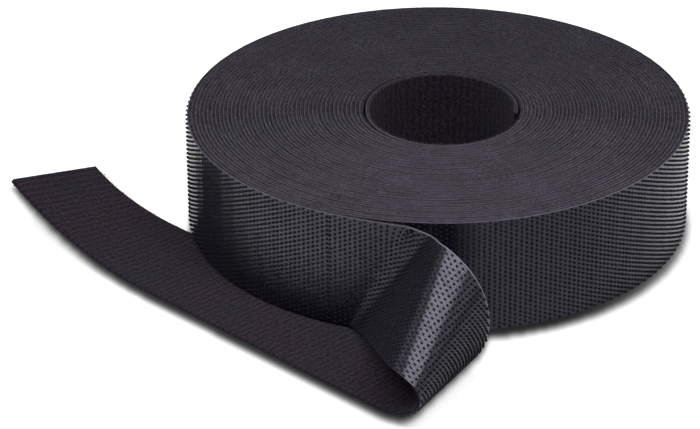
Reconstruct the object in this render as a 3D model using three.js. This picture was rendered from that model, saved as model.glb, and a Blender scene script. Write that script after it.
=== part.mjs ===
// A roll of back-to-back hook and loop tape, wound on itself without a core.
// Its outer end leaves the roll, folds over and runs back past the roll's side.
// The roll leans a little, because its rim lies on that returning end.
// Millimetres, +Z up; the origin is the middle of the footprint.
import * as THREE from 'three';

// Tape: two layers bonded back to back
const tapeWidth = 25;
const hookLayer = 0.5;
const loopLayer = 0.6;
const bondLine = 0.3;

// Roll: hooks outward, loops inward, wound counter-clockwise seen from above
const rollRadius = 54.5;
const boreRadius = 16.2;
const turnGap = 0.41;
const stepsPerTurn = 24;
const leavingAngle = THREE.MathUtils.degToRad(-116);

// Lean: how far the roll's axis tips, and the side of the roll that the tape holds up
const leanAngle = THREE.MathUtils.degToRad(1.2);
const leanSide = THREE.MathUtils.degToRad(-140);

// Free end: stretches from the roll outward, lengths as shares of the tape's width; curl is the
// bend in degrees, plus with the hooks outside, and slant is how far the bend lines run
// forward along the tape for each millimetre across it
const freeEndShares = [
  { place: 'along the side of the roll', length: 0.4, curl: 7.5, slant: 0.26 },
  { place: 'turning away from the roll', length: 0.3, curl: -61.5, slant: 0.74 },
  { place: 'slack', length: 0.54, curl: -8, slant: 0.19 },
  { place: 'up to the crease', length: 0.22, curl: 0.5, slant: -0.3 },
  { place: 'over the top of the fold', length: 0.5, curl: 115, slant: -0.56 },
  { place: 'under the fold', length: 0.9, curl: 102.5, slant: 0.28 },
  { place: 'starting back', length: 1.14, curl: 1, slant: 0.37 },
  { place: 'past the roll', length: 1.88, curl: 0, slant: 1.01 },
  { place: 'lifting to the cut end', length: 1.44, curl: 23.5, slant: 0.6 },
];
const blendShare = 0.1;
const endClearance = 0.3;

// Fineness of the free end: longest step, largest turn of a step in degrees, and parts of a step
const stepLengthShare = 0.16;
const stepTurn = 9;
const subSteps = 4;

// Winding: how many turns fit, and how far each lies outside the one before
const laminate = loopLayer + bondLine + hookLayer;
const innerBondRadius = boreRadius + loopLayer + bondLine / 2;
const outerBondRadius = rollRadius - hookLayer - bondLine / 2;
const windingDepth = outerBondRadius - innerBondRadius;
const turns = Math.floor(windingDepth / (laminate + turnGap));
const pitch = windingDepth / turns;

// Each layer lies between two offsets from the bond line, along the hook side's normal
const hookFaces = { inner: bondLine / 2, outer: bondLine / 2 + hookLayer };
const loopFaces = { inner: -bondLine / 2 - loopLayer, outer: -bondLine / 2 };

// A station is one section of the tape along a bend line: the middle of its bond line, the
// directions along and square across the tape there, the bend line's slant and the run so far
function station(middle, along, across, slant, run) {
  return { middle, along, across, slant, run };
}

function windingStations() {
  const stations = [];
  const up = new THREE.Vector3(0, 0, 1);
  const steps = turns * stepsPerTurn;
  let run = 0;
  for (let step = 0; step <= steps; step++) {
    const turn = step / stepsPerTurn;
    const angle = leavingAngle + 2 * Math.PI * (turn - turns);
    const radius = innerBondRadius + pitch * turn;
    const middle = new THREE.Vector3(radius * Math.cos(angle), radius * Math.sin(angle), tapeWidth / 2);
    const along = new THREE.Vector3(-Math.sin(angle), Math.cos(angle), 0);
    if (step > 0) run += middle.distanceTo(stations[step - 1].middle);
    stations.push(station(middle, along, up, 0, run));
  }
  return stations;
}

// The stretches with their places along the free end, in millimetres
function measuredStretches() {
  let end = 0;
  const stretches = freeEndShares.map((entry) => {
    const size = entry.length * tapeWidth;
    const start = end;
    end += size;
    const steps = Math.round(Math.max(entry.length / stepLengthShare, Math.abs(entry.curl) / stepTurn));
    return { ...entry, size, start, end, steps };
  });
  return { stretches, whole: end };
}

// Bend per millimetre at a distance along the free end, blended from stretch to stretch
function curlAt(run, stretches) {
  const blend = blendShare * tapeWidth;
  let curl = 0;
  for (const [index, stretch] of stretches.entries()) {
    const begun = index === 0 ? 1 : Math.tanh((run - stretch.start) / blend);
    const over = index === stretches.length - 1 ? -1 : Math.tanh((run - stretch.end) / blend);
    curl += THREE.MathUtils.degToRad(stretch.curl) / stretch.size * (begun - over) / 2;
  }
  return curl;
}

// The slant passes evenly from the middle of one stretch to the middle of the next, and the
// bend lines lie square across at both ends
function slantAt(run, stretches, whole) {
  const knots = stretches.map((stretch) => ({ at: (stretch.start + stretch.end) / 2, slant: stretch.slant }));
  knots.unshift({ at: 0, slant: 0 });
  knots.push({ at: whole, slant: 0 });
  const next = Math.max(1, knots.findIndex((knot) => knot.at >= run));
  const [from, to] = [knots[next - 1], knots[next]];
  return THREE.MathUtils.mapLinear(run, from.at, to.at, from.slant, to.slant);
}

// The free end carries on from the winding's last section. It bends only, without stretching:
// each short part turns about its bend line.
function freeEndStations(last) {
  const { stretches, whole } = measuredStretches();
  const along = last.along.clone();
  const across = last.across.clone();
  const middle = last.middle.clone().addScaledVector(along, endClearance);
  const stations = [];
  const addStation = (run) => {
    const slant = slantAt(run, stretches, whole);
    stations.push(station(middle.clone(), along.clone(), across.clone(), slant, last.run + endClearance + run));
  };
  for (const stretch of stretches) {
    const subLength = stretch.size / (stretch.steps * subSteps);
    for (let sub = 0; sub < stretch.steps * subSteps; sub++) {
      const run = stretch.start + sub * subLength;
      if (sub % subSteps === 0) addStation(run);
      const halfway = run + subLength / 2;
      const bendLine = across.clone().addScaledVector(along, slantAt(halfway, stretches, whole));
      const angle = curlAt(halfway, stretches) * subLength * bendLine.length();
      bendLine.normalize();
      middle.addScaledVector(along, subLength / 2);
      along.applyAxisAngle(bendLine, angle).normalize();
      across.applyAxisAngle(bendLine, angle).normalize();
      middle.addScaledVector(along, subLength / 2);
    }
  }
  addStation(whole);
  return stations;
}

// A point of the tape: at a place across the width (-1 lower edge, 1 upper edge) along the bend
// line, and an offset from the bond line toward the hook side
function tapePoint(at, edge, offset) {
  const reach = edge * tapeWidth / 2;
  const hookSide = new THREE.Vector3().crossVectors(at.along, at.across);
  const point = at.middle.clone().addScaledVector(at.across, reach);
  return point.addScaledVector(at.along, reach * at.slant).addScaledVector(hookSide, offset);
}

// One layer of the tape as a closed ribbon of four-cornered sections
function ribbonGeometry(stations, faces) {
  const corners = [[-1, faces.inner], [-1, faces.outer], [1, faces.outer], [1, faces.inner]];
  const positions = [];
  for (const at of stations) {
    for (const [edge, offset] of corners) positions.push(...tapePoint(at, edge, offset).toArray());
  }
  const sides = corners.length;
  const indices = [];
  for (let step = 0; step + 1 < stations.length; step++) {
    for (let side = 0; side < sides; side++) {
      const a = step * sides + side;
      const b = step * sides + (side + 1) % sides;
      // The hook and loop faces share one diagonal, so that the layers stay parallel round the fold
      if (side === sides - 1) indices.push(a, b + sides, b, a, a + sides, b + sides);
      else indices.push(a, a + sides, b, b, a + sides, b + sides);
    }
  }
  const end = (stations.length - 1) * sides;
  indices.push(0, 1, 2, 0, 2, 3);
  indices.push(end, end + 2, end + 1, end, end + 3, end + 2);
  const geometry = new THREE.BufferGeometry();
  geometry.setAttribute('position', new THREE.Float32BufferAttribute(positions, 3));
  geometry.setIndex(indices);
  geometry.computeVertexNormals();
  return geometry;
}

// Least gap of the tape to itself, from points on its faces and halfway between sections;
// two points are compared where more than half of the innermost turn lies between them
function leastGap(stations, faces) {
  const halfTurn = Math.PI * boreRadius;
  const rows = [];
  const edges = [-1, 0, 1];
  for (let step = 0; step < stations.length; step++) {
    const at = stations[step];
    const points = edges.flatMap((edge) => [tapePoint(at, edge, faces.inner), tapePoint(at, edge, faces.outer)]);
    rows.push({ run: at.run, points });
    if (step + 1 === stations.length) continue;
    const next = stations[step + 1];
    const nextPoints = edges.flatMap((edge) => [tapePoint(next, edge, faces.inner), tapePoint(next, edge, faces.outer)]);
    rows.push({ run: (at.run + next.run) / 2, points: points.map((point, i) => point.clone().lerp(nextPoints[i], 0.5)) });
  }
  let least = Infinity;
  for (let i = 0; i < rows.length; i++) {
    for (let j = i + 1; j < rows.length; j++) {
      if (rows[j].run - rows[i].run < halfTurn) continue;
      for (const p of rows[i].points) {
        for (const q of rows[j].points) least = Math.min(least, p.distanceToSquared(q));
      }
    }
  }
  return Math.sqrt(least);
}

const hookFilm = new THREE.MeshStandardMaterial({ name: 'hook_film', color: '#3b393f', roughness: 0.38, metalness: 0 });
const loopPile = new THREE.MeshStandardMaterial({ name: 'loop_pile', color: '#2b282e', roughness: 0.95, metalness: 0 });

function layerMesh(name, stations, faces, material) {
  const mesh = new THREE.Mesh(ribbonGeometry(stations, faces), material);
  mesh.name = name;
  return mesh;
}

const winding = windingStations();
const freeEnd = freeEndStations(winding.at(-1));
const wholeTape = [...winding, ...freeEnd];

const roll = new THREE.Group();
roll.add(layerMesh('hook_winding', winding, hookFaces, hookFilm));
roll.add(layerMesh('loop_winding', winding, loopFaces, loopPile));
roll.add(layerMesh('hook_free_end', freeEnd, hookFaces, hookFilm));
roll.add(layerMesh('loop_free_end', freeEnd, loopFaces, loopPile));

// The raised side turns up about the level line square to it
const leanAxis = new THREE.Vector3(Math.sin(leanSide), -Math.cos(leanSide), 0);
roll.quaternion.setFromAxisAngle(leanAxis, leanAngle);

// The origin is the middle of the footprint, on the surface that the roll stands on
const box = new THREE.Box3().setFromObject(roll, true);
const centre = box.getCenter(new THREE.Vector3());
roll.position.set(-centre.x, -centre.y, -box.min.z);

console.log(`${turns} turns, ${pitch.toFixed(3)} mm apart; tape ${(wholeTape.at(-1).run / 1000).toFixed(2)} m long`);
console.log(`least gap of the hook layer to itself ${leastGap(wholeTape, hookFaces).toFixed(3)} mm`);
console.log(`least gap of the loop layer to itself ${leastGap(wholeTape, loopFaces).toFixed(3)} mm`);
const bothFaces = { inner: loopFaces.inner, outer: hookFaces.outer };
console.log(`least gap of the tape to itself ${leastGap(wholeTape, bothFaces).toFixed(3)} mm`);

export default roll;
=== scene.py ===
"""A coreless roll of back-to-back hook and loop tape, its free end folded over beside it.

Lengths are in metres in the row frame: +Z up, the origin in the middle of the footprint.
"""
import math
import bpy
import numpy as np
from bpy.props import FloatProperty, FloatVectorProperty, IntProperty, PointerProperty
from mathutils import Matrix, Vector


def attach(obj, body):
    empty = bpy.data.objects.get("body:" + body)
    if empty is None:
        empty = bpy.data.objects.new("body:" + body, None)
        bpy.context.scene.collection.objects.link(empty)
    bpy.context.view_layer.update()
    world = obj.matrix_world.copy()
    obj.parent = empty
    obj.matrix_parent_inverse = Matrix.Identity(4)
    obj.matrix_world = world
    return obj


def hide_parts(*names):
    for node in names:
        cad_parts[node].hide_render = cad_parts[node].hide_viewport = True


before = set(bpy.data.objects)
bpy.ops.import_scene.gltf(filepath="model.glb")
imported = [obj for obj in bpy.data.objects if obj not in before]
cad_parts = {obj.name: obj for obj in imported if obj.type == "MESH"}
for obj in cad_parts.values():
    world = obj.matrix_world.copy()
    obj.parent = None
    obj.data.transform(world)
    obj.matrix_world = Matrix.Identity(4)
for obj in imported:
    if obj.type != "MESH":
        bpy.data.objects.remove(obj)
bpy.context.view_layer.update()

bl_info = {
    "name": "Hook and Loop Tape Roll",
    "version": (1, 0, 0),
    "blender": (4, 5, 0),
    "location": "View3D > Sidebar > Tape Roll",
    "description": "Builds a wound roll of hook and loop tape with a folded free end",
    "category": "Add Mesh",
}

MM = 0.001
SEED = 7

# The roll leans on its own tape: the turn of its axis, and where the axis meets its lower edges
LEAN_SIDE = math.radians(-140)
LEAN = Matrix.Rotation(math.radians(1.2), 4, (math.sin(LEAN_SIDE), -math.cos(LEAN_SIDE), 0))
ROLL_PLACE = Matrix.Translation(Vector((19.3028, 19.4085, 1.2106)) * MM) @ LEAN

# Free end, from the roll outward: length as a share of the tape's width, curl in degrees (plus
# with the hooks outside) and slant, how far a bend line runs forward for each unit across
FREE_END = [
    (0.4, 7.5, 0.26),  # along the side of the roll
    (0.3, -61.5, 0.74),  # turning away from the roll
    (0.54, -8, 0.19),  # slack
    (0.22, 0.5, -0.3),  # up to the crease
    (0.5, 115, -0.56),  # over the top of the fold
    (0.9, 102.5, 0.28),  # under the fold
    (1.14, 1, 0.37),  # starting back
    (1.88, 0, 1.01),  # past the roll
    (1.44, 23.5, 0.6),  # lifting to the cut end
]
BLEND_SHARE = 0.1
# Sharper bends that leave the rest of the free end in place: middle and length in millimetres
# along it, and curl in degrees
CREASES = [
    (7.4, 4.4, 6.3966),
    (10.7433, 1.3, -13.4008),
    (14.2, 5.0, 4.7774),
    (20.5, 4.0, 3.0843),
    (23.0, 5.0, 0.76),
    (25.5, 3.5, -1.6492),
    (28.6, 0.6, 24.0),
    (29.35, 0.6, -24.0),
    (34.0, 3.0, 0.045),
]
# How the bend lines' slant differs there: middle, reach and slant
CREASE_SLANTS = [
    (8.0, 3.0, -0.0875),
    (13.0, 3.0, -0.0212),
    (18.0, 3.5, 0.0887),
    (24.0, 4.0, 0.0042),
    (29.0, 4.0, -0.1),
]
BELL = 1.128  # height of a crease's bell curve, so that the bends add up to its curl

# Faces of the tape in the CAD solids, from the line where its layers are bonded
HOOK_DEPTH = 0.65 * MM
LOOP_DEPTH = 0.75 * MM
PILE_INSET = 0.14 * MM  # from the film's cut edges
PILE_BEVEL = 0.14 * MM

# Fineness: sections in a turn, and length between sections of the free end
TURN_STEPS = 72
FREE_STEP = 0.25 * MM

# Winding: where the tape starts, in turns, how much less the hole's radius is than the CAD
# solids', how far the first turn has sprung in, and where it meets the second, in turns
FIRST_TURN = 0.3
NARROWER = 0.7 * MM
SPRUNG = 0.5 * MM
SPRUNG_FROM, SPRUNG_OVER = 0.8, 0.5
# How uneven it is: the hole off the middle and oval, the inner turns wavy, the edges up and down
OFF_MIDDLE = 0.9 * MM
OVAL = 0.7 * MM
WAVE = 0.02 * MM
EDGE_WANDER = 0.05 * MM

FREE_HOOKS_FROM = 0.5 * MM  # along the free end, clear of the roll's own hooks
BORE_NAP_TURNS = 2.2  # how far the nap goes on inside the hole
FIBRE_LEVELS = ((0.0, 1.0), (0.55, 0.8))  # below a fibre's tip: shares of its length and width

# The floor's fine grid, where the tape's contact shadow lies, and how far the floor reaches
FLOOR_XS = np.arange(-100, 100.2, 0.4) * MM
FLOOR_YS = np.arange(-100, 90.2, 0.8) * MM
FLOOR_REACH = 3
# Contact shadow: softness sideways and in depth, how far it lies forward, its darkest light,
# and how much lighter it gets from one place toward the right
SHADOW_SOFT_X, SHADOW_SOFT_Y = 0.56 * MM, 1.25 * MM
SHADOW_FORWARD = 3.3 * MM
SHADOW_LIGHT = 0.025
LIGHTER_RIGHT, LIGHTER_FROM, LIGHTER_OVER = 0.5, 45 * MM, 25 * MM

LOOKED_AT = Vector((-19.17, 0, -0.63)) * MM  # by the camera, in the roll's own frame
LAMP_SIDE = math.radians(-20)  # which way the lamps' long side runs


# Settings


class TapeSettings(bpy.types.PropertyGroup):
    """Sizes and colours of the tape"""

    width: FloatProperty(
        name="Tape width", description="Width of the tape", default=25 * MM, unit="LENGTH"
    )
    roll_radius: FloatProperty(
        name="Roll radius",
        description="Outside of the last turn's hooks",
        default=54.5 * MM,
        unit="LENGTH",
    )
    bore_radius: FloatProperty(
        name="Hole radius", description="Inside of the first turn", default=16.2 * MM, unit="LENGTH"
    )
    turns: IntProperty(name="Turns", description="Turns of tape on the roll", default=44, min=2)
    film: FloatProperty(
        name="Film thickness",
        description="Hook film without its hooks",
        default=0.24 * MM,
        unit="LENGTH",
    )
    pile: FloatProperty(
        name="Loop thickness",
        description="Loop fabric with its nap",
        default=0.57 * MM,
        unit="LENGTH",
    )
    leaving: FloatProperty(
        name="Leaving angle",
        description="Where the tape leaves the roll, counter-clockwise from +X",
        default=math.radians(-116),
        subtype="ANGLE",
    )
    film_colour: FloatVectorProperty(
        name="Film colour",
        description="Moulded hook film",
        subtype="COLOR",
        size=4,
        default=(0.0055, 0.0055, 0.011, 1),
    )
    pile_colour: FloatVectorProperty(
        name="Loop colour",
        description="Napped loops",
        subtype="COLOR",
        size=4,
        default=(0.0228, 0.0167, 0.0248, 1),
    )
    fuzz_colour: FloatVectorProperty(
        name="Edge colour",
        description="Cut fibres on the edges",
        subtype="COLOR",
        size=4,
        default=(0.075, 0.066, 0.088, 1),
    )


class HookSettings(bpy.types.PropertyGroup):
    """The field of moulded hooks"""

    pitch_along: FloatProperty(
        name="Pitch along", description="Between columns of hooks", default=1.1 * MM, unit="LENGTH"
    )
    pitch_across: FloatProperty(
        name="Pitch across",
        description="Between hooks of a column",
        default=1.005 * MM,
        unit="LENGTH",
    )
    height: FloatProperty(
        name="Hook height", description="Above the film", default=0.41 * MM, unit="LENGTH"
    )
    margin: FloatProperty(
        name="Bare edge", description="Film without hooks", default=0.35 * MM, unit="LENGTH"
    )


class StageSettings(bpy.types.PropertyGroup):
    """Camera, lamps and floor"""

    lens: FloatProperty(name="Lens", description="Focal length", default=164.58, unit="CAMERA")
    distance: FloatProperty(
        name="Camera distance",
        description="From the point looked at",
        default=698.41 * MM,
        unit="LENGTH",
    )
    elevation: FloatProperty(
        name="Camera elevation",
        description="Above the horizon",
        default=math.radians(27.38),
        subtype="ANGLE",
    )
    roll: FloatProperty(
        name="Camera roll",
        description="About the line of sight",
        default=math.radians(-0.396),
        subtype="ANGLE",
    )
    key: FloatProperty(
        name="Key lamp", description="Power of the long overhead lamp", default=13.2, unit="POWER"
    )
    fill: FloatProperty(
        name="Fill lamps", description="Power of each side lamp", default=1.3, unit="POWER"
    )
    world: FloatProperty(name="World", description="Strength of the even light", default=0.07)


# Sections of the tape: middles of the bond line, directions along and across, slants and runs


class Sections:
    def __init__(self, rows):
        turn = np.array(ROLL_PLACE.to_3x3())
        self.middle, self.along, self.across = (
            np.array([row[i] for row in rows], float) @ turn.T for i in range(3)
        )
        self.middle += np.array(ROLL_PLACE.translation)
        self.slant = np.array([row[3] for row in rows], float)
        self.run = np.array([row[4] for row in rows], float)

    def at(self, runs):
        """Sections at other runs, between these"""
        made = Sections.__new__(Sections)
        made.run = np.asarray(runs, float)
        for name in ("middle", "along", "across"):
            values = getattr(self, name)
            columns = [np.interp(made.run, self.run, values[:, i]) for i in range(3)]
            mixed = np.stack(columns, axis=-1)
            if name != "middle":
                mixed /= np.linalg.norm(mixed, axis=-1, keepdims=True)
            setattr(made, name, mixed)
        made.slant = np.interp(made.run, self.run, self.slant)
        return made

    def hook_side(self):
        return np.cross(self.along, self.across)

    def point(self, reach, offset):
        """Points along the bend lines: reach across from the middle, offset toward the hooks"""
        reach = np.broadcast_to(reach, self.run.shape)[:, None]
        offset = np.broadcast_to(offset, self.run.shape)[:, None]
        line = self.across + self.slant[:, None] * self.along
        return self.middle + reach * line + offset * self.hook_side()

    def flat(self, runs, reaches):
        """Sections whose bend lines pass through flat places, given by run and reach"""
        # The slant is taken where the line starts, which a few rounds find
        start = np.asarray(runs, float)
        for _ in range(8):
            start = runs - reaches * np.interp(start, self.run, self.slant)
        return self.at(np.clip(start, self.run[0], self.run[-1]))


def bond_radii(tape):
    """Radius of the bond line in the first and the last turn, as in the CAD solids"""
    return tape.bore_radius + LOOP_DEPTH, tape.roll_radius - HOOK_DEPTH


def wound_sections(tape, steps):
    """The roll is wound tight but for its first turn, which has sprung a little inward"""
    inner, outer = bond_radii(tape)
    inner -= NARROWER
    pitch = (outer - inner - SPRUNG) / tape.turns
    turn = np.arange(FIRST_TURN * steps, tape.turns * steps + 1) / steps
    left = tape.turns - turn
    angle = tape.leaving - 2 * math.pi * left
    release = np.clip((turn - SPRUNG_FROM) / SPRUNG_OVER, 0, 1)
    release = release**2 * (3 - 2 * release)
    # The turns even out the hole's shape toward the outside
    near = np.clip(1 - turn / tape.turns, 0, 1)
    oval = OFF_MIDDLE * np.cos(angle) * near**2 - OVAL * np.cos(2 * angle) * near**4
    wave = WAVE * np.sin(angle * 5 + 3 * np.sin(turn * 0.9)) * np.clip(left / 3, 0, 1)
    radius = inner + pitch * turn + SPRUNG * release + oval + wave
    height = tape.width / 2 + EDGE_WANDER * np.sin(turn * 4.1) * np.clip(left / 2, 0, 1)
    rows = []
    run = 0.0
    for i, (a, r) in enumerate(zip(angle, radius)):
        middle = np.array([r * math.cos(a), r * math.sin(a), height[i]])
        if i:
            run += float(np.linalg.norm(middle - rows[-1][0]))
        rows.append((middle, (-math.sin(a), math.cos(a), 0), (0, 0, 1), 0, run))
    return Sections(rows)


def free_end_sections(tape, step):
    """The free end bends only, without stretching: each short part turns about its bend line"""
    width = tape.width
    sizes = [length * width for length, _, _ in FREE_END]
    ends = np.cumsum(sizes)
    starts = ends - sizes
    whole = float(ends[-1])
    knots = [0, *((starts + ends) / 2), whole]
    slants = [0, *(slant for _, _, slant in FREE_END), 0]
    blend = BLEND_SHARE * width

    def curl_at(run):
        total = 0.0
        for i, (_, curl, _) in enumerate(FREE_END):
            begun = 1 if i == 0 else math.tanh((run - starts[i]) / blend)
            over = -1 if i == len(FREE_END) - 1 else math.tanh((run - ends[i]) / blend)
            total += math.radians(curl) / sizes[i] * (begun - over) / 2
        for middle, length, curl in CREASES:
            away = (run / MM - middle) / (length / 2)
            if abs(away) < 4:
                total += math.radians(curl) / (length * MM) * BELL * math.exp(-(away**2))
        return total

    def slant_at(run):
        total = float(np.interp(run, knots, slants))
        for middle, reach, slant in CREASE_SLANTS:
            total += slant * math.exp(-(((run / MM - middle) / reach) ** 2))
        return total

    _, radius = bond_radii(tape)
    angle = tape.leaving
    along = Vector((-math.sin(angle), math.cos(angle), 0))
    across = Vector((0, 0, 1))
    middle = Vector((radius * math.cos(angle), radius * math.sin(angle), width / 2))
    count = round(whole / step)
    part = whole / count
    rows = []
    for i in range(count + 1):
        run = i * part
        rows.append((tuple(middle), tuple(along), tuple(across), slant_at(run), run))
        half = run + part / 2
        line = across + along * slant_at(half)
        turn = Matrix.Rotation(curl_at(half) * part * line.length, 3, line.normalized())
        middle = middle + along * (part / 2)
        along = (turn @ along).normalized()
        across = (turn @ across).normalized()
        middle = middle + along * (part / 2)
    return Sections(rows)


def contact_light(tape, xs, ys, eye):
    """How light the floor is on a grid: nearly black under the tape, white a few millimetres off.

    The dark edge lies just in front of the tape, as the photograph shows it, so a part above
    the floor darkens the floor behind its own foot.
    """
    column_step, row_step = xs[1] - xs[0], ys[1] - ys[0]
    across, back = np.meshgrid(xs, ys)
    # The roll's lower edges lie in one leaning plane
    behind = -eye.y / eye.z
    middle, up = ROLL_PLACE.translation, ROLL_PLACE.to_3x3() @ Vector((0, 0, 1))
    level = middle.z + (up.x * (middle.x - across) + up.y * middle.y) / up.z
    foot = (back - behind * level) / (1 - behind * up.y / up.z)
    dark = (np.hypot(across - middle.x, foot - middle.y) < tape.roll_radius).astype(float)
    # The free end, as the eye sees it against the floor
    free = free_end_sections(tape, FREE_STEP)
    for reach in np.linspace(-0.5, 0.5, 101) * tape.width:
        x, y, z = free.point(reach, -0.2 * MM).T
        grow = eye.z / (eye.z - z)
        column = np.rint((eye.x + (x - eye.x) * grow - xs[0]) / column_step).astype(int)
        row = np.rint((eye.y + (y - eye.y) * grow - ys[0]) / row_step).astype(int)
        dark[np.clip(row, 0, len(ys) - 1), np.clip(column, 0, len(xs) - 1)] = 1
    # Softened over the grid places nearby, and set forward
    taps = np.arange(-12, 19)
    for axis, step, soft, forward in (
        (1, column_step, SHADOW_SOFT_X, 0),
        (0, row_step, SHADOW_SOFT_Y, SHADOW_FORWARD),
    ):
        share = np.exp(-(((taps * step - forward) / soft) ** 2) / 2)
        share /= share.sum()
        dark = sum(weight * np.roll(dark, -tap, axis) for tap, weight in zip(taps, share))
    light = SHADOW_LIGHT + (1 - SHADOW_LIGHT) * (1 - dark)
    return light ** (1 - LIGHTER_RIGHT * np.clip((across - LIGHTER_FROM) / LIGHTER_OVER, 0, 1))


# Meshes


def new_piece(name, vertices, faces, material, uvs=None, smooth=False):
    mesh = bpy.data.meshes.new(name)
    mesh.from_pydata([tuple(v) for v in vertices], [], faces)
    if uvs is not None:
        layer = mesh.uv_layers.new(name="tape")
        index = np.zeros(len(mesh.loops), np.int32)
        mesh.loops.foreach_get("vertex_index", index)
        layer.data.foreach_set("uv", np.asarray(uvs, np.float32)[index].ravel())
    mesh.polygons.foreach_set("use_smooth", [smooth] * len(mesh.polygons))
    mesh.materials.append(material)
    mesh.validate()
    mesh.update()
    piece = bpy.data.objects.new(name, mesh)
    bpy.context.collection.objects.link(piece)
    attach(piece, "root")
    return piece


def ribbon(sections, outline):
    """A closed ribbon.

    outline goes round the section: pairs of reach and offset, the hook side first.
    """
    count, sides = len(sections.run), len(outline)
    rings = [sections.point(reach, offset) for reach, offset in outline]
    places = [
        np.stack([sections.run + reach * sections.slant, np.full(count, reach)], axis=-1)
        for reach, _ in outline
    ]
    vertices = np.stack(rings, axis=1).reshape(-1, 3)
    uvs = np.stack(places, axis=1).reshape(-1, 2)
    faces = []
    for i in range(count - 1):
        a, b = i * sides, (i + 1) * sides
        for s in range(sides):
            t = (s + 1) % sides
            faces.append((a + s, b + s, b + t, a + t))
    faces.append(tuple(range(sides)))
    last = (count - 1) * sides
    faces.append(tuple(last + s for s in reversed(range(sides))))
    return vertices, faces, uvs


def film_outline(tape):
    half = tape.width / 2
    return [(-half, 0), (-half, tape.film), (half, tape.film), (half, 0)]


def pile_outline(tape):
    half, face = tape.width / 2 - PILE_INSET, -tape.pile
    return [
        (-half, face + PILE_BEVEL),
        (-half, 0),
        (half, 0),
        (half, face + PILE_BEVEL),
        (half - PILE_BEVEL, face),
        (-half + PILE_BEVEL, face),
    ]


# One hook: rings of four corners (along, across, up), as shares of its height, root to tip
HOOK_RINGS = [
    [(-0.6, -0.42, -0.1), (0.6, -0.42, -0.1), (0.6, 0.42, -0.1), (-0.6, 0.42, -0.1)],
    [(-0.46, -0.34, 0.75), (0.4, -0.34, 0.65), (0.4, 0.34, 0.65), (-0.46, 0.34, 0.75)],
    [(0.1, -0.28, 1.0), (0.76, -0.24, 0.65), (0.76, 0.24, 0.65), (0.1, 0.28, 1.0)],
]


def hook_field(sections, first, last, tape, hooks, phase=0):
    """Hooks on the film from run first to last, alternate columns set off by half a pitch"""
    columns = np.arange(first, last, hooks.pitch_along)
    half = tape.width / 2 - hooks.margin
    rng = np.random.default_rng(SEED + phase)
    runs, reaches = [], []
    for i, run in enumerate(columns):
        odd = (i + phase) % 2
        across = np.arange(-half + odd * hooks.pitch_across / 2, half + 1e-9, hooks.pitch_across)
        reaches.append(across)
        runs.append(np.full(len(across), run))
    runs, reaches = np.concatenate(runs), np.concatenate(reaches)
    place = sections.flat(runs, reaches)
    normal = place.hook_side()
    root = place.point(reaches, tape.film)
    facing = np.where(rng.random(len(runs)) < 0.5, 1.0, -1.0)
    size = hooks.height * (0.92 + 0.16 * rng.random(len(runs)))
    vertices = []
    for ring in HOOK_RINGS:
        for x, y, z in ring:
            vertices.append(
                root
                + place.along * (x * facing * size)[:, None]
                + place.across * (y * size)[:, None]
                + normal * (z * size)[:, None]
            )
    vertices = np.stack(vertices, axis=1)
    per = vertices.shape[1]
    quads = []
    for level in range(len(HOOK_RINGS) - 1):
        for s in range(4):
            t = (s + 1) % 4
            a, b = level * 4, (level + 1) * 4
            quads.append((a + s, a + t, b + t, b + s))
    quads.append((3, 2, 1, 0))
    top = (len(HOOK_RINGS) - 1) * 4
    quads.append((top, top + 1, top + 2, top + 3))
    quads = np.array(quads)
    turned = quads[:, ::-1]
    faces = []
    for i in range(len(runs)):
        faces.extend((i * per + (quads if facing[i] > 0 else turned)).tolist())
    return vertices.reshape(-1, 3), faces


def fibres(roots, directions, lengths, widths, rng):
    """Fine bent spikes, three-sided, each closed"""
    count = len(roots)
    helper = rng.normal(size=(count, 3))
    side = np.cross(directions, helper)
    side /= np.linalg.norm(side, axis=1, keepdims=True)
    other = np.cross(directions, side)
    bend = side * (rng.random((count, 1)) - 0.5) * 1.3
    vertices = []
    for level, thick in FIBRE_LEVELS:
        straight = directions * (lengths * level)[:, None]
        centre = roots + straight + bend * (lengths * level**2)[:, None]
        radii = (widths * thick / 2)[:, None]
        for corner in range(3):
            angle = 2 * math.pi * corner / 3
            vertices.append(centre + (side * math.cos(angle) + other * math.sin(angle)) * radii)
    vertices.append(roots + directions * lengths[:, None] + bend * lengths[:, None])
    vertices = np.stack(vertices, axis=1)
    per = vertices.shape[1]
    template = [(2, 1, 0)]
    for s in range(3):
        t = (s + 1) % 3
        template.append((s, t, 3 + t))
        template.append((s, 3 + t, 3 + s))
        template.append((3 + s, 3 + t, per - 1))
    template = np.array(template)
    faces = (np.arange(count)[:, None, None] * per + template[None]).reshape(-1, 3).tolist()
    return vertices.reshape(-1, 3), faces


def new_tape(sections, tape, film_name, loops_name):
    """The tape's two layers on the same sections"""
    layers = []
    for name, outline, build, slot in (
        (film_name, film_outline(tape), moulded_film, "hook_film"),
        (loops_name, pile_outline(tape), napped_loops, "loop_pile"),
    ):
        vertices, faces, uvs = ribbon(sections, outline)
        layers.append(new_piece(name, vertices, faces, tape_material(build, tape), uvs))
    return layers


# Shader nodes. Each operand is a plain value or another node's output


def feed(tree, socket, value):
    if isinstance(value, bpy.types.NodeSocket):
        tree.links.new(value, socket)
    else:
        socket.default_value = value


def new_node(tree, kind, **settings):
    node = tree.nodes.new(kind)
    for name, value in settings.items():
        setattr(node, name, value)
    return node


def math_node(tree, operation, first, second=0.5):
    node = new_node(tree, "ShaderNodeMath", operation=operation)
    feed(tree, node.inputs[0], first)
    feed(tree, node.inputs[1], second)
    return node.outputs[0]


def product(tree, first, *others):
    for other in others:
        first = math_node(tree, "MULTIPLY", first, other)
    return first


def vector_node(tree, operation, first, second, output="Vector"):
    node = new_node(tree, "ShaderNodeVectorMath", operation=operation)
    feed(tree, node.inputs[0], first)
    feed(tree, node.inputs[1], second)
    return node.outputs[output]


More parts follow.
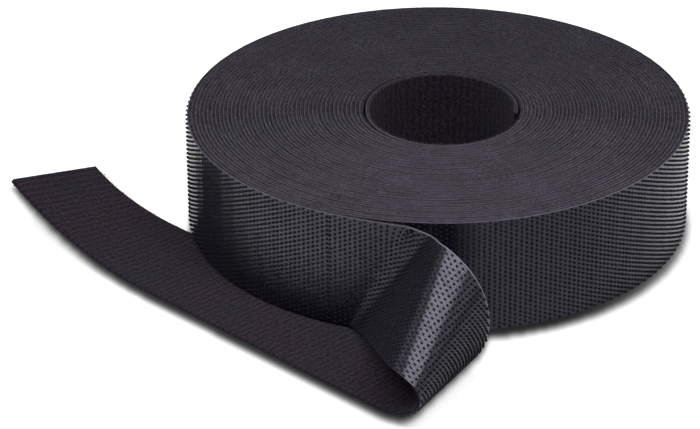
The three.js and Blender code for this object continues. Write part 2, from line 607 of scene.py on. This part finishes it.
def range_node(tree, value, start, end, low=0, high=1, kind="LINEAR"):
    """Where a value lies from start to end, as one from low to high"""
    node = new_node(tree, "ShaderNodeMapRange", interpolation_type=kind)
    feed(tree, node.inputs["Value"], value)
    feed(tree, node.inputs["From Min"], start)
    feed(tree, node.inputs["From Max"], end)
    feed(tree, node.inputs["To Min"], low)
    feed(tree, node.inputs["To Max"], high)
    return node.outputs["Result"]


def noise_node(tree, place, scale=1, detail=2, roughness=0.5):
    node = new_node(tree, "ShaderNodeTexNoise")
    feed(tree, node.inputs["Vector"], place)
    feed(tree, node.inputs["Scale"], scale)
    feed(tree, node.inputs["Detail"], detail)
    feed(tree, node.inputs["Roughness"], roughness)
    return node.outputs["Fac"]


def mix_node(tree, share, first, second, kind="RGBA"):
    node = new_node(tree, "ShaderNodeMix", data_type=kind)
    feed(tree, node.inputs["Factor"], share)
    feed(tree, node.inputs["A"], first)
    feed(tree, node.inputs["B"], second)
    return node.outputs["Result"]


def bump_node(tree, height, distance):
    node = new_node(tree, "ShaderNodeBump")
    feed(tree, node.inputs["Distance"], distance)
    feed(tree, node.inputs["Height"], height)
    return node.outputs["Normal"]


def tape_place(tree):
    """The tape's own coordinates: run along it, and reach across it from the middle"""
    return new_node(tree, "ShaderNodeUVMap", uv_map="tape").outputs["UV"]


def tape_noise(tree, along, across, detail=2):
    """Noise over the tape's own coordinates, with a scale for each"""
    size = new_node(tree, "ShaderNodeCombineXYZ")
    feed(tree, size.inputs["X"], along)
    feed(tree, size.inputs["Y"], across)
    place = vector_node(tree, "MULTIPLY", tape_place(tree), size.outputs["Vector"])
    return noise_node(tree, place, detail=detail)


# Shader node groups


def new_group(name, inputs, outputs):
    """An empty group with its inputs' sockets and its outputs' sockets, all plain numbers"""
    group = bpy.data.node_groups.new(name, "ShaderNodeTree")

    def new_socket(label, way):
        return group.interface.new_socket(name=label, in_out=way, socket_type="NodeSocketFloat")

    for label, value in inputs.items():
        new_socket(label, "INPUT").default_value = value
    for label in outputs:
        new_socket(label, "OUTPUT")
    given, made = group.nodes.new("NodeGroupInput"), group.nodes.new("NodeGroupOutput")
    return group, given.outputs, made.inputs


def placed(tree, build, **values):
    """The outputs of a group, which build makes when it is first used"""
    node = new_node(tree, "ShaderNodeGroup")
    node.node_tree = bpy.data.node_groups.get(build.__name__) or build()
    for label, value in values.items():
        feed(tree, node.inputs[label.replace("_", " ")], value)
    return node.outputs


def tape_speckle():
    """Fine two-scale grain over object coordinates: a mask from 0 to 1 and a height"""
    inputs = {"Scale": 2000, "Coarse share": 0.3}
    group, given, made = new_group("tape_speckle", inputs, ("Mask", "Height"))
    place = new_node(group, "ShaderNodeTexCoord").outputs["Object"]
    fine = noise_node(group, place, given["Scale"], 3, 0.7)
    coarse = noise_node(group, place, product(group, given["Scale"], 0.12))
    height = mix_node(group, given["Coarse share"], fine, coarse, "FLOAT")
    feed(group, made["Mask"], range_node(group, height, 0.3, 0.7))
    feed(group, made["Height"], height)
    return group


def tape_streaks():
    """Fine lines that run along the tape, in its own coordinates: a mask and a height"""
    inputs = {"Across": 4000, "Along": 150}
    group, given, made = new_group("tape_streaks", inputs, ("Mask", "Height"))
    height = tape_noise(group, given["Along"], given["Across"])
    feed(group, made["Mask"], range_node(group, height, 0.3, 0.7))
    feed(group, made["Height"], height)
    return group


def tape_cut_edge():
    """Masks of the tape's edges: the upper cut, a painted highlight beside it on the film's face,
    and both cuts
    """
    inputs = {"Half width": 0.0125, "Depth": 0.0001}
    group, given, made = new_group("tape_cut_edge", inputs, ("Cut", "Rim highlight", "Either edge"))
    split = new_node(group, "ShaderNodeSeparateXYZ")
    feed(group, split.inputs[0], tape_place(group))
    reach = split.outputs["Y"]
    below = math_node(group, "SUBTRACT", given["Half width"], reach)
    # Only the upper cut is pale; the lower cut keeps the face's dark colour, a painted shade,
    # though both cuts are alike
    feed(group, made["Cut"], range_node(group, below, 0.005 * MM, 0.02 * MM, 1, 0))
    # The painted highlight shows only on the side that faces out of the roll
    rim_highlight = math_node(group, "MINIMUM", range_node(group, below, 0, given["Depth"], 2, 0), 1)
    face = new_node(group, "ShaderNodeNewGeometry")
    from_axis = vector_node(group, "SUBTRACT", face.outputs["Position"], ROLL_PLACE.translation)
    facing = vector_node(group, "DOT_PRODUCT", from_axis, face.outputs["Normal"], "Value")
    feed(group, made["Rim highlight"], product(group, rim_highlight, math_node(group, "GREATER_THAN", facing, 0)))
    past = math_node(group, "SUBTRACT", math_node(group, "ABSOLUTE", reach), given["Half width"])
    feed(group, made["Either edge"], math_node(group, "GREATER_THAN", past, -0.02 * MM))
    return group


def tape_rows():
    """Uneven knitted rows across the tape, in its own coordinates: a mask and a height"""
    inputs = {"Pitch": 0.0016, "Wander": 0.0009}
    group, given, made = new_group("tape_rows", inputs, ("Mask", "Height"))
    split = new_node(group, "ShaderNodeSeparateXYZ")
    feed(group, split.inputs[0], tape_place(group))
    wander = math_node(group, "SUBTRACT", tape_noise(group, 330, 620), 0.5)
    run = math_node(group, "ADD", split.outputs["X"], product(group, wander, given["Wander"]))
    rows = math_node(group, "DIVIDE", run, given["Pitch"])
    wave = product(group, math_node(group, "SINE", product(group, rows, 2 * math.pi)), 0.24)
    broken = product(group, wave, product(group, tape_noise(group, 600, 900, 1), 2))
    grain = product(group, math_node(group, "SUBTRACT", tape_noise(group, 2200, 1300), 0.5), 2.9)
    height = math_node(group, "ADD", math_node(group, "ADD", broken, grain), 0.5)
    feed(group, made["Mask"], range_node(group, height, 0.1, 0.9))
    feed(group, made["Height"], height)
    return group


# Materials


def new_material(name, **values):
    """A material with its nodes and the inputs of its surface, some of them set"""
    material = bpy.data.materials.new(name)
    material.use_nodes = True
    surface = material.node_tree.nodes["Principled BSDF"].inputs
    for label, value in values.items():
        surface[label.replace("_", " ")].default_value = value
    return material, material.node_tree, surface


def tape_material(build, tape):
    """One of the tape's materials, which build makes when it is first used"""
    return bpy.data.materials.get(build.__name__) or build(tape)


def shade(colour, factor):
    return (colour[0] * factor, colour[1] * factor, colour[2] * factor, 1)


def shades(tree, mask, colour, dark, light):
    """A colour that goes from one shade to another by a mask"""
    return mix_node(tree, mask, shade(colour, dark), shade(colour, light))


def moulded_film(tape):
    """Moulded black film: satin, with fine drawn lines, faint mottling, a pale frayed upper cut
    edge with a painted highlight beside it, and a lower cut left dark as painted shade
    """
    material, tree, surface = new_material(
        "moulded_film",
        IOR=1.65,
        Sheen_Weight=0.07,
        Sheen_Roughness=0.4,
        Sheen_Tint=(0.85, 0.85, 1, 1),
        Specular_Tint=(0.87, 0.83, 1, 1),
    )
    streaks = placed(tree, tape_streaks, Across=5200, Along=260)
    mottle = placed(tree, tape_speckle, Scale=1500, Coarse_share=0.5)["Mask"]
    patches = placed(tree, tape_speckle, Scale=1600, Coarse_share=0)["Mask"]
    edge = placed(tree, tape_cut_edge, Half_width=tape.width / 2, Depth=0.3 * MM)
    face = shades(tree, mottle, tape.film_colour, 0.75, 1.3)
    # Painted highlight: a pale band on the face beside the upper cut, where the edge would catch
    # the light
    rim_highlight = shades(tree, mottle, tape.fuzz_colour, 1.6, 4.2)
    cut = shades(tree, patches, tape.fuzz_colour, 0.01, 1.25)
    face_with_rim_highlight = mix_node(tree, edge["Rim highlight"], face, rim_highlight)
    feed(tree, surface["Base Color"], mix_node(tree, edge["Cut"], face_with_rim_highlight, cut))
    satin = range_node(tree, streaks["Mask"], 0, 1, 0.2, 0.3)
    rim_highlight_or_edge = math_node(tree, "MAXIMUM", edge["Rim highlight"], edge["Either edge"])
    feed(tree, surface["Roughness"], mix_node(tree, rim_highlight_or_edge, satin, 0.85, "FLOAT"))
    feed(tree, surface["Normal"], bump_node(tree, streaks["Height"], 0.06 * MM))
    return material


def moulded_hooks(tape):
    """The hooks: the film's own plastic, a little duller"""
    material, tree, surface = new_material("moulded_hooks", Roughness=0.5, Specular_IOR_Level=0.3)
    mottle = placed(tree, tape_speckle, Scale=900, Coarse_share=0.4)["Mask"]
    feed(tree, surface["Base Color"], shades(tree, mottle, tape.film_colour, 0.8, 1.9))
    return material


def napped_loops(tape):
    """Matt napped loops in uneven rows across the tape, with a curly grain, a pale upper cut edge
    and the lower cut left dark as painted shade
    """
    material, tree, surface = new_material(
        "napped_loops",
        Roughness=0.95,
        Specular_IOR_Level=0.1,
        Sheen_Weight=0.05,
        Sheen_Roughness=0.6,
    )
    red, green, blue, _ = tape.pile_colour
    rows = placed(tree, tape_rows, Pitch=1.6 * MM, Wander=1.8 * MM)
    cloud = placed(tree, tape_speckle, Scale=900, Coarse_share=0.65)["Mask"]
    patches = placed(tree, tape_speckle, Scale=1600, Coarse_share=0)["Mask"]
    edge = placed(tree, tape_cut_edge, Half_width=tape.width / 2 - PILE_INSET, Depth=0.12 * MM)
    warm = (red * 2.0, green * 1.35, blue * 1.5, 1)
    cool = (red * 0.95, green * 1.45, blue * 1.75, 1)
    loops = mix_node(tree, cloud, warm, cool)
    face = mix_node(tree, rows["Mask"], shade(tape.pile_colour, 0.36), loops)
    cut = shades(tree, patches, tape.fuzz_colour, 0, 0.5)
    feed(tree, surface["Base Color"], mix_node(tree, edge["Cut"], face, cut))
    feed(tree, surface["Normal"], bump_node(tree, rows["Height"], 0.16 * MM))
    return material


def nap_fibres(tape):
    """Single fibres of the nap, a little lighter than the fabric"""
    material, tree, surface = new_material("nap_fibres", Roughness=0.9, Specular_IOR_Level=0.1)
    mottle = placed(tree, tape_speckle, Scale=500, Coarse_share=0.5)["Mask"]
    feed(tree, surface["Base Color"], shades(tree, mottle, tape.pile_colour, 0.7, 2.9))
    return material


def edge_fibres(tape):
    """Cut and pulled fibres on the tape's edges"""
    material, tree, surface = new_material("edge_fibres", Roughness=0.8)
    mottle = placed(tree, tape_speckle, Scale=700, Coarse_share=0.5)["Mask"]
    feed(tree, surface["Base Color"], shades(tree, mottle, tape.fuzz_colour, 0.2, 1.95))
    return material


def white_floor():
    """White to the camera and nearly black where the tape touches it.

    A grey card round the tape throws light back, and a glow on it that only glossy rays see puts a
    painted reflection in the film.
    """
    material, tree, surface = new_material("white_floor", Roughness=0.9, Specular_IOR_Level=0)
    place = new_node(tree, "ShaderNodeTexCoord").outputs["Object"]
    contact = new_node(tree, "ShaderNodeAttribute", attribute_name="contact_light").outputs["Fac"]
    seen = new_node(tree, "ShaderNodeLightPath").outputs

    def around(middle, start, end, low, high):
        away = vector_node(tree, "DISTANCE", place, middle, "Value")
        return range_node(tree, away, start, end, low, high, "SMOOTHSTEP")

    # The card ends some way off; only the camera sees white beyond it
    card = around((0.03, 0.01, 0), 0.09, 0.24, 1, 0.1)
    lit = product(tree, card, contact)
    feed(tree, surface["Base Color"], mix_node(tree, lit, (0, 0, 0, 1), (0.55, 0.55, 0.55, 1)))
    white = math_node(tree, "SUBTRACT", 1.3, product(tree, card, 0.52))
    straight = product(tree, seen["Is Camera Ray"], white, contact)
    # A glow that only glossy rays see, a painted reflection in the film, weaker at the front right
    # than elsewhere
    gleam = around((0.06, -0.09, 0), 0.05, 0.11, 0.14, 0.78)
    mirrored = product(tree, seen["Is Glossy Ray"], gleam, lit)
    glow = new_node(tree, "ShaderNodeEmission")
    feed(tree, glow.inputs["Strength"], math_node(tree, "ADD", straight, mirrored))
    total = new_node(tree, "ShaderNodeAddShader")
    feed(tree, total.inputs[0], tree.nodes["Principled BSDF"].outputs[0])
    feed(tree, total.inputs[1], glow.outputs[0])
    feed(tree, tree.nodes["Material Output"].inputs["Surface"], total.outputs[0])
    return material


# Operators


class TAPE_OT_stage(bpy.types.Operator):
    """Camera at the photograph's viewing angle, lamps, world and a plain white floor"""

    bl_idname = "tape.stage"
    bl_label = "Stage"

    def execute(self, context):
        scene, stage = context.scene, context.scene.tape_stage
        scene.view_settings.view_transform = "Standard"
        self.camera(scene, stage)
        # The overhead lamp is long from side to side, so the fold mirrors it as one bright band
        self.lamp(scene, "overhead_lamp", (0, -0.34, 0.94), (1.8, 0.52), stage.key)
        self.lamp(scene, "right_lamp", (1.0, -0.15, 0.4), (0.6, 0.6), stage.fill)
        self.lamp(scene, "left_lamp", (-1.0, 0.2, 0.45), (0.6, 0.6), stage.fill)
        self.floor(scene)
        self.surroundings(scene, stage.world)
        return {"FINISHED"}

    def camera(self, scene, stage):
        """Sees the roll squarely from the front, in the roll's own frame"""
        back = Vector((0, -math.cos(stage.elevation), math.sin(stage.elevation)))
        up = Vector((0, math.sin(stage.elevation), math.cos(stage.elevation)))
        right = Vector((1, 0, 0))
        cosine, sine = math.cos(stage.roll), math.sin(stage.roll)
        right, up = cosine * right + sine * up, cosine * up - sine * right
        turn = Matrix((right, up, back)).transposed().to_4x4()
        data = bpy.data.cameras.new("camera")
        data.lens = stage.lens
        data.sensor_width = 36
        data.clip_start = 0.01
        camera = bpy.data.objects.new("camera", data)
        place = Matrix.Translation(LOOKED_AT + back * stage.distance)
        camera.matrix_world = ROLL_PLACE @ place @ turn
        scene.collection.objects.link(camera)
        scene.camera = camera

    def lamp(self, scene, name, place, size, power):
        data = bpy.data.lights.new(name, "AREA")
        data.shape = "RECTANGLE"
        data.size, data.size_y = size
        data.energy = power
        lamp = bpy.data.objects.new(name, data)
        toward = Vector(place).normalized()
        side = Vector((math.cos(LAMP_SIDE), math.sin(LAMP_SIDE), 0))
        side = (side - side.project(toward)).normalized()
        turn = Matrix((side, toward.cross(side), toward)).transposed()
        lamp.matrix_world = Matrix.Translation(place) @ turn.to_4x4()
        scene.collection.objects.link(lamp)

    def floor(self, scene):
        """A fine grid that carries the contact shadow, with plain borders far out"""
        eye = scene.camera.matrix_world.translation
        light = contact_light(scene.tape, FLOOR_XS, FLOOR_YS, eye)
        light = np.pad(light, 1, constant_values=1)
        xs, ys = (
            np.concatenate([[-FLOOR_REACH], places, [FLOOR_REACH]])
            for places in (FLOOR_XS, FLOOR_YS)
        )
        grid = np.stack(np.meshgrid(xs, ys, [0.0]), axis=-1).reshape(-1, 3)
        wide = len(xs)
        corner = (np.arange(len(ys) - 1)[:, None] * wide + np.arange(wide - 1)[None]).ravel()
        faces = np.stack([corner, corner + 1, corner + wide + 1, corner + wide], axis=-1)
        mesh = bpy.data.meshes.new("floor")
        mesh.from_pydata(grid.tolist(), [], faces.tolist())
        contact = mesh.attributes.new("contact_light", "FLOAT", "POINT")
        contact.data.foreach_set("value", light.ravel().astype(np.float32))
        mesh.materials.append(white_floor())
        floor = bpy.data.objects.new("floor", mesh)
        scene.collection.objects.link(floor)

    def surroundings(self, scene, strength):
        """Even light on the object, and white where the camera sees past the floor"""
        world = bpy.data.worlds.new("white_room")
        world.use_nodes = True
        tree = world.node_tree
        light = tree.nodes["Background"]
        light.inputs["Color"].default_value = (1, 1, 1, 1)
        light.inputs["Strength"].default_value = strength
        white = new_node(tree, "ShaderNodeBackground")
        white.inputs["Color"].default_value = (1, 1, 1, 1)
        mix = new_node(tree, "ShaderNodeMixShader")
        feed(tree, mix.inputs[0], new_node(tree, "ShaderNodeLightPath").outputs["Is Camera Ray"])
        feed(tree, mix.inputs[1], light.outputs[0])
        feed(tree, mix.inputs[2], white.outputs[0])
        feed(tree, tree.nodes["World Output"].inputs["Surface"], mix.outputs[0])
        scene.world = world


class TAPE_OT_wound_tape(bpy.types.Operator):
    """The wound tape: hook film and loop fabric, turn on turn"""

    bl_idname = "tape.wound_tape"
    bl_label = "Wound tape"

    def execute(self, context):
        tape = context.scene.tape
        sections = wound_sections(tape, TURN_STEPS)
        film, pile = new_tape(sections, tape, "wound_film", "wound_loops")
        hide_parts("hook_winding")
        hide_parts("loop_winding")
        return {"FINISHED"}


class TAPE_OT_free_end(bpy.types.Operator):
    """The free end: hook film and loop fabric, folded over and laid back"""

    bl_idname = "tape.free_end"
    bl_label = "Free end"

    def execute(self, context):
        tape = context.scene.tape
        sections = free_end_sections(tape, FREE_STEP)
        film, pile = new_tape(sections, tape, "free_film", "free_loops")
        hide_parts("hook_free_end")
        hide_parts("loop_free_end")
        return {"FINISHED"}


class TAPE_OT_hooks(bpy.types.Operator):
    """Small moulded hooks on the outer turn and the free end"""

    bl_idname = "tape.hooks"
    bl_label = "Hooks"

    def execute(self, context):
        tape, hooks = context.scene.tape, context.scene.tape_hooks
        material = tape_material(moulded_hooks, tape)
        wound = wound_sections(tape, 2 * TURN_STEPS)
        last = wound.run[-1]
        _, outer = bond_radii(tape)
        vertices, faces = hook_field(wound, last - 2 * math.pi * outer, last, tape, hooks)
        new_piece("wound_hooks", vertices, faces, material)
        free = free_end_sections(tape, FREE_STEP)
        vertices, faces = hook_field(free, FREE_HOOKS_FROM, free.run[-1], tape, hooks, phase=1)
        new_piece("free_hooks", vertices, faces, material)
        return {"FINISHED"}


class TAPE_OT_fuzz(bpy.types.Operator):
    """Nap in the hole and on the free end, and cut fibres on the loop fabric's edges"""

    bl_idname = "tape.fuzz"
    bl_label = "Fibres"

    def execute(self, context):
        tape = context.scene.tape
        pale, dark = tape_material(edge_fibres, tape), tape_material(nap_fibres, tape)
        rng = np.random.default_rng(SEED)
        wound = wound_sections(tape, TURN_STEPS)
        self.edge("wound_edge_fibres", wound, 1, pale, tape, rng, spacing=0.17, longest=0.6)
        bore_run = BORE_NAP_TURNS * 2 * math.pi * tape.bore_radius
        self.nap("bore_nap", wound, bore_run, dark, tape, rng, per_area=2.5e6)
        free = free_end_sections(tape, 2 * FREE_STEP)
        self.edge("free_upper_fibres", free, 1, dark, tape, rng, spacing=0.25, longest=0.3)
        self.edge("free_lower_fibres", free, -1, dark, tape, rng, spacing=0.25, longest=0.45)
        self.nap("free_nap", free, free.run[-1], dark, tape, rng, per_area=2.6e6)
        return {"FINISHED"}

    def nap(self, name, sections, last, material, tape, rng, per_area):
        """Curled fibres that stand out of the loop fabric's face, up to the run last"""
        count = int(last * tape.width * per_area)
        place = sections.at(last * rng.random(count))
        roots = place.point((rng.random(count) - 0.5) * tape.width * 0.97, -tape.pile + 0.04 * MM)
        lean = 2.2 * (rng.random((count, 1)) - 0.5) * place.along
        lean = lean + 2.2 * (rng.random((count, 1)) - 0.5) * place.across
        direction = -place.hook_side() + lean
        direction /= np.linalg.norm(direction, axis=1, keepdims=True)
        lengths = (0.18 + 0.3 * rng.random(count)) * MM
        widths = (0.06 + 0.04 * rng.random(count)) * MM
        vertices, faces = fibres(roots, direction, lengths, widths, rng)
        new_piece(name, vertices, faces, material)

    def edge(self, name, sections, edge, material, tape, rng, spacing, longest):
        """Fibres that stand on the upper edge, 1, or the lower one, -1. Sizes in millimetres"""
        count = int(sections.run[-1] / (spacing * MM))
        place = sections.at(np.sort(rng.random(count)) * sections.run[-1])
        reach = edge * (tape.width / 2 - PILE_INSET - 0.05 * MM)
        roots = place.point(reach, -tape.pile * rng.random(count))
        straight = edge * place.across + 0.8 * (rng.random((count, 1)) - 0.5) * place.hook_side()
        direction = straight + 1.1 * (rng.random((count, 1)) - 0.5) * place.along
        direction /= np.linalg.norm(direction, axis=1, keepdims=True)
        lengths = (longest * MM) * (1 + 2 * rng.random(count)) / 3
        widths = (0.07 + 0.07 * rng.random(count)) * MM
        vertices, faces = fibres(roots, direction, lengths, widths, rng)
        new_piece(name, vertices, faces, material)


class TAPE_PT_panel(bpy.types.Panel):
    """The tape roll's settings and operators"""

    bl_idname = "TAPE_PT_panel"
    bl_label = "Tape Roll"
    bl_space_type = "VIEW_3D"
    bl_region_type = "UI"
    bl_category = "Tape Roll"

    def draw(self, context):
        layout = self.layout
        for settings in (context.scene.tape, context.scene.tape_hooks, context.scene.tape_stage):
            for name in settings.__annotations__:
                layout.prop(settings, name)
        for operator in OPERATORS:
            layout.operator(operator.bl_idname)


OPERATORS = (TAPE_OT_stage, TAPE_OT_wound_tape, TAPE_OT_free_end, TAPE_OT_hooks, TAPE_OT_fuzz)
CLASSES = (TapeSettings, HookSettings, StageSettings, *OPERATORS, TAPE_PT_panel)


def register():
    for cls in CLASSES:
        bpy.utils.register_class(cls)
    bpy.types.Scene.tape = PointerProperty(type=TapeSettings)
    bpy.types.Scene.tape_hooks = PointerProperty(type=HookSettings)
    bpy.types.Scene.tape_stage = PointerProperty(type=StageSettings)


def unregister():
    del bpy.types.Scene.tape_stage
    del bpy.types.Scene.tape_hooks
    del bpy.types.Scene.tape
    for cls in reversed(CLASSES):
        bpy.utils.unregister_class(cls)


def main():
    register()
    bpy.ops.tape.stage()
    bpy.ops.tape.wound_tape()
    bpy.ops.tape.free_end()
    bpy.ops.tape.hooks()
    bpy.ops.tape.fuzz()


if __name__ == "__main__":
    main()
